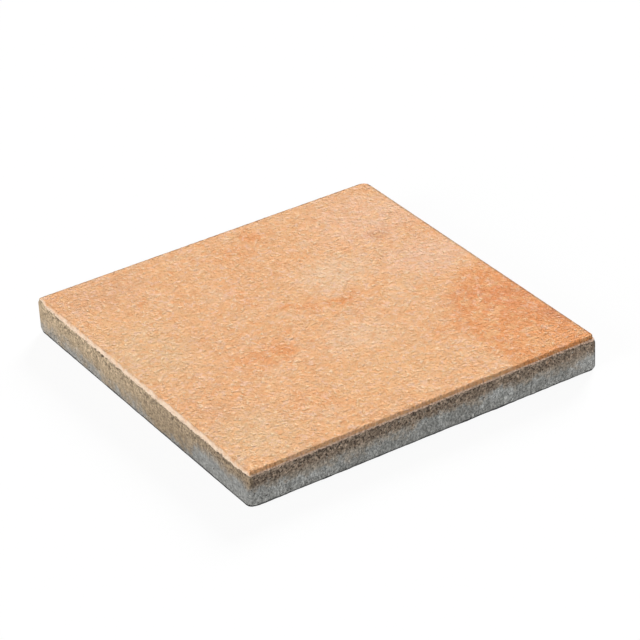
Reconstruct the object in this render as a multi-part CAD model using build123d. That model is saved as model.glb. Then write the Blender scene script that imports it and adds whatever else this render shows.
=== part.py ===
from build123d import *
import os

# Concrete patio slab, pressed in one piece and stored lying flat with its walking face up.
# Frame: millimetres, +Z up through the walking face, origin at the centre of the underside.

# Plan and thickness
slab_length = 400.0  # along X, over the upright sides
slab_width = 400.0  # along Y, over the upright sides
slab_thickness = 40.0  # from the underside to the walking face
corner_radius = 2.0  # upright corners between the sides
least_corner_radius = 0.8  # sharpest corner that pressed concrete keeps

# Pressed edge round the walking face, from the top down
face_edge_radius = 0.6  # worn edge between the walking face and the bevel
bevel_inset = 0.8  # how far the steep bevel leans inwards on its way up
bevel_drop = 4.3  # height of the steep bevel
ledge_width = 1.2  # narrow ledge at the foot of the bevel
ledge_drop = 0.8  # fall of the ledge from the bevel to the arris
arris_radius = 0.4  # worn edge between the ledge and the upright side

# Underside
foot_radius = 1.5  # worn bottom edge all round

# Heights that follow from the sizes above
bevel_foot_height = slab_thickness - bevel_drop
arris_height = bevel_foot_height - ledge_drop

# Half the height of the thin slice in which an edge counts as lying at a given height
height_tolerance = 0.01


def outline(inset: float, height: float) -> Sketch:
    """Plan of the slab at a height, drawn in from the sides by the inset, corners concentric."""
    radius = max(corner_radius - inset, least_corner_radius)
    plan = RectangleRounded(slab_length - 2 * inset, slab_width - 2 * inset, radius)
    return Pos(0, 0, height) * plan


def edges_at(solid: Part, height: float) -> ShapeList:
    """Edges of the solid that lie level at a height."""
    low = height - height_tolerance
    high = height + height_tolerance
    return solid.edges().filter_by_position(Axis.Z, low, high)


def pressed_slab() -> Part:
    """The whole slab: upright sides, then the ledge and the bevel, with its edges worn round."""
    body = extrude(outline(0, 0), arris_height)
    arris_plan = outline(0, arris_height)
    bevel_foot_plan = outline(ledge_width, bevel_foot_height)
    face_plan = outline(ledge_width + bevel_inset, slab_thickness)
    ledge = loft([arris_plan.face(), bevel_foot_plan.face()], ruled=True)
    bevel = loft([bevel_foot_plan.face(), face_plan.face()], ruled=True)
    slab = body + ledge + bevel
    slab = fillet(edges_at(slab, slab_thickness), face_edge_radius)
    slab = fillet(edges_at(slab, arris_height), arris_radius)
    slab = fillet(edges_at(slab, 0), foot_radius)
    return slab


slab = pressed_slab()
slab.label = "slab"

os.makedirs("parts", exist_ok=True)
export_step(slab, "parts/slab.step")
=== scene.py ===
"""Looks of a pressed concrete patio slab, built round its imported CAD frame.

The slab is one closed piece. Its section is drawn from the CAD box, its cast relief is made by Geometry
Nodes, and one concrete finish colours the peach face mix and the brown and grey backing under it.
"""

import logging
import math
from dataclasses import dataclass
from dataclasses import field
from enum import Enum

import bpy
import numpy as np
from mathutils import Matrix
from mathutils import Vector


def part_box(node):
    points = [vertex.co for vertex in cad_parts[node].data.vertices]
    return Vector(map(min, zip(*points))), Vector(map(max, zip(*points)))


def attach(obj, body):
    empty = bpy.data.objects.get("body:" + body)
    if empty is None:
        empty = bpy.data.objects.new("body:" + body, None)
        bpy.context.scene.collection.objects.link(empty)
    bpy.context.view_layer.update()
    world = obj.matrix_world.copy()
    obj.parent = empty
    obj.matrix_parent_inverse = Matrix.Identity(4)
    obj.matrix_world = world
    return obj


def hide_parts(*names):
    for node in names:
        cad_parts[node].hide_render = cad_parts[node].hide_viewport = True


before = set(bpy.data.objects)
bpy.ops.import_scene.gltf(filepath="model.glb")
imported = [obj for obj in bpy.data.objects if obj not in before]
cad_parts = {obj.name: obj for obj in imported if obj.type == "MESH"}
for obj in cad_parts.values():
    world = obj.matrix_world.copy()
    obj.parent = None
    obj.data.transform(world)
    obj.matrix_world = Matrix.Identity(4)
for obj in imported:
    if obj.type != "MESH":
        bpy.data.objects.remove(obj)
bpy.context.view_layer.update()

log = logging.getLogger("patio_slab")

CAD_NODE = "slab"
CAD_BODY = "root"
PIECE_NAME = "patio_slab"

# How screens store a level: straight near black, then a power curve
SCREEN_MOST = 255
SCREEN_KNEE = 0.04045
SCREEN_SLOPE = 12.92
SCREEN_OFFSET = 0.055
SCREEN_POWER = 2.4

# Share of its reach at which a cloud on the face has faded out
PATCH_END = 1.15

Colour = tuple[float, float, float, float]
Span = tuple[float, float]
Socket = bpy.types.NodeSocket
Inputs = bpy.types.bpy_prop_collection


def tint(red: int, green: int, blue: int) -> Colour:
    """Turns a colour as a screen shows it into the linear colour that a shader takes.

    Args:
        red: Red on a screen, from 0 to 255.
        green: Green on a screen, from 0 to 255.
        blue: Blue on a screen, from 0 to 255.

    Returns:
        The linear colour, with full alpha.
    """

    def linear(level: int) -> float:
        """One channel of the colour, made linear."""
        share = level / SCREEN_MOST
        if share <= SCREEN_KNEE:
            return share / SCREEN_SLOPE
        return ((share + SCREEN_OFFSET) / (1 + SCREEN_OFFSET)) ** SCREEN_POWER

    return (linear(red), linear(green), linear(blue), 1.0)


def from_edge(edge: float, span: Span) -> Span:
    """A pair of limits that are measured from an edge."""
    return (edge + span[0], edge + span[1])


class Bench:
    """Adds nodes to one tree and wires them, so that a recipe reads as a list of steps."""

    def __init__(self, tree: bpy.types.NodeTree) -> None:
        """Starts work on a tree."""
        self.tree = tree

    def add(self, kind: str, **settings: object) -> bpy.types.Node:
        """Adds a node.

        Args:
            kind: Blender's name for the type of node.
            settings: Properties of the node, by name.

        Returns:
            The new node.
        """
        node = self.tree.nodes.new(kind)
        for name, value in settings.items():
            setattr(node, name, value)
        return node

    def feed(self, socket: Socket, value: object) -> None:
        """Wires an output to a socket, or sets the socket's own value.

        Args:
            socket: The input to fill.
            value: An output socket, or a plain value.
        """
        if isinstance(value, Socket):
            self.tree.links.new(value, socket)
        else:
            socket.default_value = value

    def math(self, operation: str, *values: object, clamp: bool = False) -> Socket:
        """Works out one number from others.

        Args:
            operation: Blender's name for the sum.
            values: Sockets or numbers, in order.
            clamp: Whether the result is kept from 0 to 1.

        Returns:
            The resulting number's socket.
        """
        node = self.add("ShaderNodeMath", operation=operation, use_clamp=clamp)
        for socket, value in zip(node.inputs, values):
            self.feed(socket, value)
        return node.outputs[0]

    def product(self, *values: object) -> Socket:
        """Multiplies two or more numbers.

        Args:
            values: Sockets or numbers.

        Returns:
            The product's socket.
        """
        result = values[0]
        for value in values[1:]:
            result = self.math("MULTIPLY", result, value)
        return result

    def total(self, *values: object) -> Socket:
        """Adds two or more numbers.

        Args:
            values: Sockets or numbers.

        Returns:
            The sum's socket.
        """
        result = values[0]
        for value in values[1:]:
            result = self.math("ADD", result, value)
        return result

    def least(self, *values: object) -> Socket:
        """Takes the smallest of two or more numbers.

        Args:
            values: Sockets or numbers.

        Returns:
            The smallest number's socket.
        """
        result = values[0]
        for value in values[1:]:
            result = self.math("MINIMUM", result, value)
        return result

    def vector(self, operation: str, *values: object) -> Socket:
        """Works out one vector from others.

        Args:
            operation: Blender's name for the sum.
            values: Sockets, vectors or, for a scaling, a last number.

        Returns:
            The resulting vector's socket, or the number's for a length.
        """
        node = self.add("ShaderNodeVectorMath", operation=operation)
        places = [node.inputs[0], node.inputs["Scale"]] if operation == "SCALE" else node.inputs
        for socket, value in zip(places, values):
            self.feed(socket, value)
        return node.outputs["Value" if operation == "LENGTH" else "Vector"]

    def split(self, place: object) -> tuple[Socket, Socket, Socket]:
        """The three parts of a vector."""
        node = self.add("ShaderNodeSeparateXYZ")
        self.feed(node.inputs[0], place)
        return node.outputs[0], node.outputs[1], node.outputs[2]

    def ramp(
        self,
        value: object,
        low: object,
        high: object,
        least: object = 0.0,
        most: object = 1.0,
    ) -> Socket:
        """Eases a number from one level to another as it passes between two limits.

        Args:
            value: The number that passes.
            low: Where the change begins. It may lie above high, for a change that goes downwards.
            high: Where the change ends.
            least: The level before low.
            most: The level after high.

        Returns:
            The eased number's socket.
        """
        node = self.add("ShaderNodeMapRange", interpolation_type="SMOOTHSTEP")
        names = ("Value", "From Min", "From Max", "To Min", "To Max")
        for name, given in zip(names, (value, low, high, least, most)):
            self.feed(node.inputs[name], given)
        return node.outputs["Result"]

    def blend(self, share: object, first: object, second: object) -> Socket:
        """Eases from one number to another.

        Args:
            share: How far the change has gone, from 0 to 1.
            first: The number at 0.
            second: The number at 1.

        Returns:
            The eased number's socket.
        """
        return self.ramp(share, 0.0, 1.0, first, second)

    def noise(
        self,
        place: object,
        grain: float,
        seed: object,
        detail: float = 0.0,
        roughness: float = 0.5,
        distortion: float = 0.0,
    ) -> Socket:
        """Cloudy noise of a given grain.

        Args:
            place: Where the noise is read, as a vector in metres.
            grain: Size of one lump of the noise, in metres.
            seed: Which of many such noises it is.
            detail: How many finer noises are added.
            roughness: How strong the finer ones are.
            distortion: How far the noise swirls.

        Returns:
            The noise's socket, about 0.5 in the middle.
        """
        node = self.add("ShaderNodeTexNoise", noise_dimensions="4D")
        self.feed(node.inputs["Vector"], place)
        self.feed(node.inputs["W"], seed)
        self.feed(node.inputs["Scale"], 1 / grain)
        self.feed(node.inputs["Detail"], detail)
        self.feed(node.inputs["Roughness"], roughness)
        self.feed(node.inputs["Distortion"], distortion)
        return node.outputs[0]

    def drift(self, place: object, grain: float, reach: float, seed: object) -> Socket:
        """Shifts places by a swirling noise, so that what is drawn on them gets a ragged outline.

        Args:
            place: The places, as a vector in metres.
            grain: Size of one swirl, in metres.
            reach: How far a place can shift, in metres.
            seed: Which of many such noises it is.

        Returns:
            The shifted places' socket.
        """
        swirl = self.add("ShaderNodeTexNoise", noise_dimensions="4D")
        self.feed(swirl.inputs["Vector"], place)
        self.feed(swirl.inputs["W"], seed)
        self.feed(swirl.inputs["Scale"], 1 / grain)
        self.feed(swirl.inputs["Detail"], 5.0)
        self.feed(swirl.inputs["Roughness"], 0.6)
        shift = self.vector("SUBTRACT", swirl.outputs["Color"], (0.5, 0.5, 0.5))
        return self.vector("ADD", place, self.vector("SCALE", shift, 2 * reach))

    def cells(self, place: object, size: float, seed: object) -> tuple[Socket, Socket]:
        """Scattered points with a random number each.

        Args:
            place: Where the points are read, as a vector in metres.
            size: Mean distance between points, in metres.
            seed: Which of many such scatters it is.

        Returns:
            The distance to the nearest point, as a share of the size, and that point's random number.
        """
        node = self.add("ShaderNodeTexVoronoi", voronoi_dimensions="4D")
        self.feed(node.inputs["Vector"], place)
        self.feed(node.inputs["W"], seed)
        self.feed(node.inputs["Scale"], 1 / size)
        return node.outputs["Distance"], self.split(node.outputs["Color"])[0]

    def mix(self, share: object, first: object, second: object) -> Socket:
        """Mixes two colours.

        Args:
            share: How much of the second colour shows.
            first: A colour or its socket.
            second: A colour or its socket.

        Returns:
            The mixed colour's socket.
        """
        node = self.add("ShaderNodeMix", data_type="RGBA")
        colours = [s for s in node.inputs if s.type == "RGBA"]
        for socket, value in zip((node.inputs["Factor"], *colours), (share, first, second)):
            self.feed(socket, value)
        return next(s for s in node.outputs if s.type == "RGBA")

    def shade(self, colour: Socket, level: object) -> Socket:
        """Makes a colour lighter or darker.

        Args:
            colour: The colour's socket.
            level: What each channel is multiplied by.

        Returns:
            The shaded colour's socket.
        """
        return self.vector("SCALE", colour, level)


class Tint(Enum):
    """Colours that cloud the walking face."""

    ORANGE = tint(235, 160, 102)
    BURNT = tint(227, 142, 84)
    RUST = tint(204, 128, 86)
    CREAM = tint(240, 206, 168)
    PINK = tint(243, 197, 166)
    SAND = tint(228, 194, 148)
    YELLOW = tint(240, 186, 130)
    EMBER = tint(232, 150, 86)
    TAN = tint(224, 166, 122)


@dataclass(frozen=True)
class Patch:
    """A soft cloud of one colour on the walking face.

    Places and reaches are in metres, from the middle of the slab. The core is the share of the reach that
    has the full colour.
    """

    colour: Tint
    centre: tuple[float, float]
    reach: tuple[float, float]
    strength: float
    core: float = 0.25


@dataclass(frozen=True)
class CornerWear:
    """Plan radius of one upright corner at the face, at the arris and at the foot, in metres.

    A chip adds to the radius close to the arris, and a foot chip close to the foot.
    """

    face: float
    arris: float
    foot: float
    chip: float = 0.0
    foot_chip: float = 0.0


@dataclass
class SlabSection:
    """The slab's section, from the walking face round the edge to the underside, in metres."""

    low: Vector
    high: Vector
    face_edge_radius: float = 0.0007
    bevel_inset: float = 0.0008
    bevel_drop: float = 0.0043
    ledge_width: float = 0.0012
    ledge_drop: float = 0.0008
    arris_radius: float = 0.0004
    foot_radius: float = 0.0006
    flat_run: float = 0.01
    face_edge_steps: int = 3
    bevel_steps: int = 3
    ledge_steps: int = 2
    arris_steps: int = 2
    side_steps: int = 20
    side_crowd: float = 1.3
    foot_steps: int = 4

    @property
    def top(self) -> float:
        """Height of the walking face."""
        return self.high.z

    @property
    def bevel_foot(self) -> float:
        """Height of the foot of the bevel."""
        return self.top - self.bevel_drop

    @property
    def arris(self) -> float:
        """Height of the edge between the ledge and the upright side."""
        return self.bevel_foot - self.ledge_drop

    def corners(self) -> list[Vector]:
        """The section's corners as inset and height, face first, with a flat run at each end."""
        face_inset = self.ledge_width + self.bevel_inset
        return [
            Vector((face_inset + self.flat_run, self.top)),
            Vector((face_inset, self.top)),
            Vector((self.ledge_width, self.bevel_foot)),
            Vector((0.0, self.arris)),
            Vector((0.0, self.low.z)),
            Vector((self.flat_run, self.low.z)),
        ]

    @staticmethod
    def worn(before: Vector, corner: Vector, after: Vector, radius: float, steps: int) -> list[Vector]:
        """Rounds one corner of the section.

        Args:
            before: The corner before it.
            corner: The corner to round.
            after: The corner after it.
            radius: Radius of the round.
            steps: How many rows the round is made of.

        Returns:
            The points of the round, from its start to its end.
        """
        back = (before - corner).normalized()
        on = (after - corner).normalized()
        half = back.angle(on) / 2
        centre = corner + (back + on).normalized() * (radius / math.sin(half))
        reach = radius / math.tan(half)
        first = (corner + back * reach - centre).normalized()
        last = (corner + on * reach - centre).normalized()
        return [centre + first.slerp(last, step / steps) * radius for step in range(steps + 1)]

    @staticmethod
    def run(start: Vector, end: Vector, steps: int, crowd: float = 1.0) -> list[Vector]:
        """Points between two ends of a straight stretch, the ends left out.

        Args:
            start: Where the stretch begins.
            end: Where it ends.
            steps: How many rows it has.
            crowd: Above 1, the rows are closer near the start.

        Returns:
            The points in order.
        """
        return [start.lerp(end, (step / steps) ** crowd) for step in range(1, steps)]

    def rows(self) -> list[Vector]:
        """Inset and height of each level row of points, from the face's edge to the underside's."""
        inner, face_edge, bevel_foot, arris, foot, under = self.corners()
        edge_round = self.worn(inner, face_edge, bevel_foot, self.face_edge_radius, self.face_edge_steps)
        arris_round = self.worn(bevel_foot, arris, foot, self.arris_radius, self.arris_steps)
        foot_round = self.worn(arris, foot, under, self.foot_radius, self.foot_steps)
        return [
            *edge_round,
            *self.run(edge_round[-1], bevel_foot, self.bevel_steps),
            bevel_foot,
            *self.run(bevel_foot, arris_round[0], self.ledge_steps),
            *arris_round,
            *self.run(arris_round[-1], foot_round[0], self.side_steps, self.side_crowd),
            *foot_round,
        ]


@dataclass
class SlabMesh:
    """The slab's plain closed mesh, before its relief.

    It has a fine face, level rows round the edge and a coarse bed. Lengths are in metres.
    """

    section: SlabSection
    near_corner: CornerWear = CornerWear(0.0010, 0.0015, 0.0090)
    left_corner: CornerWear = CornerWear(0.0017, 0.0004, 0.0006, foot_chip=0.0058)
    right_corner: CornerWear = CornerWear(0.0030, 0.0022, 0.0026, chip=0.0026, foot_chip=0.0042)
    back_corner: CornerWear = CornerWear(0.0085, 0.0065, 0.0085)
    run_out: float = 0.014
    least_inset: float = 0.1
    chip_reach: float = 0.004
    foot_power: float = 1.5
    least_radius: float = 1e-9
    foot_margin: float = 1.01
    face_cells: int = 240
    edge_crowding: float = 0.07
    crowding_power: int = 9
    bed_ratio: int = 4
    bed_margin: float = 0.006
    vertices: list[np.ndarray] = field(default_factory=list)
    faces: list[tuple[int, ...]] = field(default_factory=list)
    shares: dict[str, list[np.ndarray]] = field(default_factory=dict)
    count: int = 0

    def corner_radius(self, across: np.ndarray, along: np.ndarray, height: float) -> np.ndarray:
        """Plan radius of the corner that each point belongs to.

        Args:
            across: Places along X, from -1 to 1.
            along: Places along Y, from -1 to 1.
            height: The points' height.

        Returns:
            The radius for each point, in metres.
        """
        section = self.section

        def at_height(corner: CornerWear) -> float:
            """One corner's radius at this height."""
            chip = corner.chip * max(0.0, 1 - abs(height - section.arris) / self.chip_reach)
            chip += corner.foot_chip * max(0.0, 1 - (height - section.low.z) / self.chip_reach)
            if height >= section.arris:
                share = (height - section.arris) / (section.top - section.arris)
                return chip + corner.arris + (corner.face - corner.arris) * share
            share = (section.arris - height) / (section.arris - section.low.z)
            return chip + corner.arris + (corner.foot - corner.arris) * share**self.foot_power

        left = np.where(along < 0, at_height(self.near_corner), at_height(self.left_corner))
        right = np.where(along < 0, at_height(self.right_corner), at_height(self.back_corner))
        return np.where(across < 0, left, right)

    def outline(self, across: np.ndarray, along: np.ndarray, inset: float, height: float) -> np.ndarray:
        """Places points of a square on the slab's rounded plan.

        Args:
            across: Places along X, from -1 to 1 of the square.
            along: Places along Y, from -1 to 1 of the square.
            inset: How far the outer edge of the square lies inside the slab's sides. The left side's inset
                runs out at the left corner, where the pressed edge is rubbed away.
            height: The points' height.

        Returns:
            X and Y of each point, in metres.
        """
        section = self.section
        middle = (section.low + section.high) / 2
        half = (section.high - section.low) / 2
        run_out = np.clip((1 - along) * half.y / self.run_out, self.least_inset, 1.0)
        side_inset = np.where(across < 0, inset * run_out, inset)
        ring = np.maximum(np.abs(across), np.abs(along))
        half_x = ring * (half.x - side_inset)
        half_y = ring * (half.y - inset)
        deeper = (1 - ring) * (min(half.x, half.y) - inset)
        radius = np.maximum(self.corner_radius(across, along, height) - deeper, self.least_radius)
        x = np.abs(across) * (half.x - side_inset)
        y = np.abs(along) * (half.y - inset)
        past_x = (x - (half_x - radius)) / radius
        past_y = (y - (half_y - radius)) / radius
        turn = np.where(past_x >= past_y, past_y, 2 - past_x) * math.pi / 4
        in_corner = (past_x > 0) & (past_y > 0)
        x = np.where(in_corner, half_x - radius + radius * np.cos(turn), x)
        y = np.where(in_corner, half_y - radius + radius * np.sin(turn), y)
        return np.stack([middle.x + np.sign(across) * x, middle.y + np.sign(along) * y], axis=-1)

    def put(self, points: np.ndarray, height: float, **shares: float) -> np.ndarray:
        """Adds points at one height.

        Args:
            points: X and Y of each point.
            height: Their common height.
            shares: How far each kind of relief reaches there, by name.

        Returns:
            The new points' numbers, in the shape of the given array.
        """
        flat = points.reshape(-1, 2)
        self.vertices.append(np.column_stack([flat, np.full(len(flat), height)]))
        for name in ("face", "edge", "side", "foot", "bed"):
            share = np.full(len(flat), shares.get(name, 0.0))
            self.shares.setdefault(name, []).append(share)
        numbers = np.arange(self.count, self.count + len(flat)).reshape(points.shape[:-1])
        self.count += len(flat)
        return numbers

    @staticmethod
    def rim(grid: np.ndarray) -> np.ndarray:
        """The outer loop of a square array, anticlockwise seen from above, each corner once."""
        return np.concatenate([grid[:-1, 0], grid[-1, :-1], grid[:0:-1, -1], grid[0, :0:-1]])

    def square(self, cells: int) -> tuple[np.ndarray, np.ndarray]:
        """Places of a square grid's points, from -1 to 1 each way, closer together near the edges."""
        even = np.linspace(-1.0, 1.0, cells + 1)
        step = (1 + self.edge_crowding) * even - self.edge_crowding * even**self.crowding_power
        return np.meshgrid(step, step, indexing="ij")

    def quads(self, grid: np.ndarray, upwards: bool) -> None:
        """Fills a grid of points with four-sided faces that look up or down."""
        corners = [grid[:-1, :-1], grid[1:, :-1], grid[1:, 1:], grid[:-1, 1:]]
        if not upwards:
            corners.reverse()
        self.faces.extend(map(tuple, np.stack(corners, axis=-1).reshape(-1, 4).tolist()))

    def band(self, upper: np.ndarray, lower: np.ndarray) -> None:
        """Joins two loops of points by faces that look outwards."""
        corners = [upper, lower, np.roll(lower, -1), np.roll(upper, -1)]
        self.faces.extend(map(tuple, np.stack(corners, axis=-1).tolist()))

    def stitch(self, fine: np.ndarray, coarse: np.ndarray) -> None:
        """Joins the foot's fine loop to the bed's coarse one by triangles that look down."""
        ratio = self.bed_ratio
        half = ratio // 2
        for number, start in enumerate(coarse.tolist()):
            end = int(coarse[(number + 1) % len(coarse)])
            outer = [int(fine[(number * ratio + step) % len(fine)]) for step in range(ratio + 1)]
            for step in range(ratio):
                inner = start if step < half else end
                self.faces.append((outer[step], inner, outer[step + 1]))
            self.faces.append((outer[half], start, end))

    def build(self, name: str) -> bpy.types.Mesh:
        """Makes the mesh, with a share of each kind of relief on every point.

        Args:
            name: The mesh's name.

        Returns:
            The closed mesh.
        """
        section = self.section
        rows = section.rows()
        across, along = self.square(self.face_cells)
        face = self.put(self.outline(across, along, rows[0].x, rows[0].y), rows[0].y, face=1.0)
        self.quads(face, upwards=True)
        upper = self.rim(face)
        rim_across, rim_along = self.rim(across), self.rim(along)
        for row in rows[1:]:
            is_edge = row.y > section.arris - section.arris_radius
            is_foot = row.y < section.low.z + section.foot_radius * self.foot_margin
            lower = self.put(
                self.outline(rim_across, rim_along, row.x, row.y),
                row.y,
                face=max(0.0, 1 - (section.top - row.y) / section.face_edge_radius),
                edge=float(is_edge),
                side=float(not is_edge and not is_foot),
                foot=float(is_foot),
            )
            self.band(upper, lower)
            upper = lower
        bed_across, bed_along = self.square(self.face_cells // self.bed_ratio)
        bed_place = self.outline(bed_across, bed_along, rows[-1].x + self.bed_margin, rows[-1].y)
        bed = self.put(bed_place, rows[-1].y, bed=1.0)
        self.quads(bed, upwards=False)
        self.stitch(upper, self.rim(bed))
        mesh = bpy.data.meshes.new(name)
        mesh.from_pydata(np.concatenate(self.vertices).tolist(), [], self.faces)
        for share_name, parts in self.shares.items():
            layer = mesh.attributes.new(share_name, "FLOAT", "POINT")
            layer.data.foreach_set("value", np.concatenate(parts).astype(np.float32))
        mesh.validate()
        return mesh


@dataclass
class CastRelief:
    """The slab's cast relief, as a Geometry Nodes tree. Sizes are in metres, and every depth goes inwards."""

    section: SlabSection
    ripple_depth: float = 0.0007
    ripple_grain: float = 0.0036
    ripple_span: Span = (0.68, 0.32)
    swell_depth: float = 0.0002
    swell_grain: float = 0.030
    swell_span: Span = (0.75, 0.25)
    pit_depth: float = 0.0013
    pit_spacing: float = 0.0036
    pit_rim: Span = (0.55, 0.2)
    pit_chance: Span = (0.35, 0.45)
    pit_band: float = 0.014
    band_grain: float = 0.006
    band_levels: Span = (0.3, 1.4)
    band_core: float = 0.5
    tip_reach: float = 0.012
    tip_core: float = 0.004
    drag_depth: float = 0.0003
    drag_grain: float = 0.003
    drag_stretch: float = 0.15
    crumble_depth: float = 0.0010
    crumble_grain: float = 0.0034
    crumble_span: Span = (0.52, 0.70)
    crumble_reach: float = 0.0005
    waver_depth: float = 0.0004
    waver_grain: float = 0.012
    foot_wear: float = 0.0004
    front_wear: float = 0.0007
    front_rim: Span = (0.004, 0.001)
    foot_grain: float = 0.018
    foot_span: Span = (0.30, 0.65)
    foot_levels: Span = (0.4, 1.0)
    bed_depth: float = 0.0006
    bed_grain: float = 0.015
    bed_span: Span = (0.3, 0.75)
    seed: float = 4.0

    def inputs(self) -> dict[str, float]:
        """The tree's named inputs and their values."""
        return {
            "Ripple Depth": self.ripple_depth,
            "Swell Depth": self.swell_depth,
            "Pit Depth": self.pit_depth,
            "Drag Depth": self.drag_depth,
            "Crumble Depth": self.crumble_depth,
            "Waver Depth": self.waver_depth,
            "Foot Wear": self.foot_wear,
            "Front Wear": self.front_wear,
            "Bed Depth": self.bed_depth,
            "Seed": self.seed,
        }

    @staticmethod
    def share(bench: Bench, name: str) -> Socket:
        """How far one kind of relief reaches at a point."""
        node = bench.add("GeometryNodeInputNamedAttribute", data_type="FLOAT")
        bench.feed(node.inputs["Name"], name)
        return node.outputs[0]

    def face(self, bench: Bench, given: Inputs, place: Socket) -> tuple[Socket, Socket]:
        """The walking face's fine ripple on a slow swell.

        Args:
            bench: The tree's bench.
            given: The tree's inputs.
            place: Each point's place.

        Returns:
            The depth, and how deep in the ripple a point lies, from 0 to 1.
        """
        ripple = bench.noise(place, self.ripple_grain, given["Seed"], detail=1.0, distortion=0.2)
        hollow = bench.ramp(ripple, *self.ripple_span)
        swell = bench.noise(place, self.swell_grain, given["Seed"], detail=2.0)
        depth = bench.total(
            bench.product(hollow, given["Ripple Depth"]),
            bench.product(bench.ramp(swell, *self.swell_span), given["Swell Depth"]),
        )
        return bench.product(depth, self.share(bench, "face")), hollow

    def off_left_tip(self, bench: Bench, place: Socket) -> Socket:
        """Whether a point keeps its pits and notches, from 0 at the smooth left tip to 1 elsewhere."""
        low, high = self.section.low, self.section.high
        x, y, _ = bench.split(place)
        by_side = bench.ramp(x, low.x + self.tip_reach, low.x + self.tip_core)
        by_end = bench.ramp(y, high.y - self.tip_reach, high.y - self.tip_core)
        return bench.math("SUBTRACT", 1.0, bench.product(by_side, by_end))

    def side(self, bench: Bench, given: Inputs, place: Socket) -> tuple[Socket, Socket]:
        """The sides' drag marks, and the pits in the band under the arris.

        Args:
            bench: The tree's bench.
            given: The tree's inputs.
            place: Each point's place.

        Returns:
            The depth, and how far a point lies in a pit, from 0 to 1.
        """
        seed = given["Seed"]
        below = bench.math("SUBTRACT", self.section.arris, bench.split(place)[2])
        ragged = bench.noise(place, self.band_grain, seed, detail=2.0)
        least, added = self.band_levels
        band_end = bench.math("MULTIPLY_ADD", ragged, self.pit_band * added, self.pit_band * least)
        in_band = bench.ramp(below, band_end, bench.product(band_end, self.band_core))
        near, chance = bench.cells(place, self.pit_spacing, seed)
        pit = bench.product(
            bench.ramp(near, *self.pit_rim),
            bench.ramp(chance, *self.pit_chance),
            in_band,
            self.off_left_tip(bench, place),
            self.share(bench, "side"),
        )
        stretched = bench.vector("MULTIPLY", place, (1.0, 1.0, self.drag_stretch))
        drag = bench.noise(stretched, self.drag_grain, seed, detail=1.0)
        drag_depth = bench.product(drag, given["Drag Depth"], self.share(bench, "side"))
        return bench.math("MULTIPLY_ADD", pit, given["Pit Depth"], drag_depth), pit

    def edge(self, bench: Bench, given: Inputs, place: Socket) -> tuple[Socket, Socket]:
        """The pressed edge's slight waver, and the crumbs missing along its ledge.

        Args:
            bench: The tree's bench.
            given: The tree's inputs.
            place: Each point's place.

        Returns:
            The depth, and how far a point lies in a notch, from 0 to 1.
        """
        seed = given["Seed"]
        section = self.section
        crumbs = bench.noise(place, self.crumble_grain, seed, detail=1.0)
        notch = bench.ramp(crumbs, *self.crumble_span)
        ledge = bench.ramp(bench.split(place)[2], section.bevel_foot + self.crumble_reach, section.arris)
        notch = bench.product(notch, ledge, self.off_left_tip(bench, place), self.share(bench, "edge"))
        waver = bench.noise(place, self.waver_grain, seed, detail=2.0)
        waver_depth = bench.product(waver, given["Waver Depth"], self.share(bench, "edge"))
        return bench.math("MULTIPLY_ADD", notch, given["Crumble Depth"], waver_depth), notch

    def under(self, bench: Bench, given: Inputs, place: Socket) -> Socket:
        """The worn foot and the uneven bed.

        Args:
            bench: The tree's bench.
            given: The tree's inputs.
            place: Each point's place.

        Returns:
            The depth.
        """
        seed = given["Seed"]
        wave = bench.noise(place, self.foot_grain, seed, detail=4.0, roughness=0.65)
        front = from_edge(self.section.low.y, self.front_rim)
        in_front = bench.ramp(bench.split(place)[1], *front)
        wear = bench.math("MULTIPLY_ADD", in_front, given["Front Wear"], given["Foot Wear"])
        worn = bench.ramp(wave, *self.foot_span, *self.foot_levels)
        foot = bench.product(worn, self.share(bench, "foot"), wear)
        lumps = bench.noise(place, self.bed_grain, seed, detail=2.0)
        uneven = bench.ramp(lumps, *self.bed_span)
        bed = bench.product(uneven, self.share(bench, "bed"), given["Bed Depth"])
        return bench.total(foot, bed)

    def tree(self, material: bpy.types.Material) -> bpy.types.NodeTree:
        """Builds the tree.

        Args:
            material: The finish that the result wears.

        Returns:
            The tree, ready for a modifier.
        """
        tree = bpy.data.node_groups.new("cast_relief", "GeometryNodeTree")
        tree.interface.new_socket("Geometry", in_out="INPUT", socket_type="NodeSocketGeometry")
        for name in self.inputs():
            tree.interface.new_socket(name, in_out="INPUT", socket_type="NodeSocketFloat")
        tree.interface.new_socket("Geometry", in_out="OUTPUT", socket_type="NodeSocketGeometry")
        bench = Bench(tree)
        given = bench.add("NodeGroupInput").outputs
        place = bench.add("GeometryNodeInputPosition").outputs[0]
        face_depth, hollow = self.face(bench, given, place)
        side_depth, pit = self.side(bench, given, place)
        edge_depth, notch = self.edge(bench, given, place)
        depth = bench.total(face_depth, side_depth, edge_depth, self.under(bench, given, place))
        normal = bench.add("GeometryNodeInputNormal").outputs[0]
        inwards = bench.vector("SCALE", normal, bench.product(depth, -1.0))
        body = given["Geometry"]
        for name, value in (("hollow", hollow), ("pit", bench.math("MAXIMUM", pit, notch))):
            keep = bench.add("GeometryNodeStoreNamedAttribute", data_type="FLOAT", domain="POINT")
            bench.feed(keep.inputs["Geometry"], body)
            bench.feed(keep.inputs["Name"], name)
            bench.feed(keep.inputs["Value"], value)
            body = keep.outputs["Geometry"]
        within = bench.vector("MAXIMUM", bench.vector("ADD", place, inwards), tuple(self.section.low))
        within = bench.vector("MINIMUM", within, tuple(self.section.high))
        moved = bench.add("GeometryNodeSetPosition")
        bench.feed(moved.inputs["Geometry"], body)
        bench.feed(moved.inputs["Position"], within)
        smooth = bench.add("GeometryNodeSetShadeSmooth")
        bench.feed(smooth.inputs["Geometry"], moved.outputs["Geometry"])
        real = bench.add("GeometryNodeRealizeInstances")
        bench.feed(real.inputs["Geometry"], smooth.outputs["Geometry"])
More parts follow.
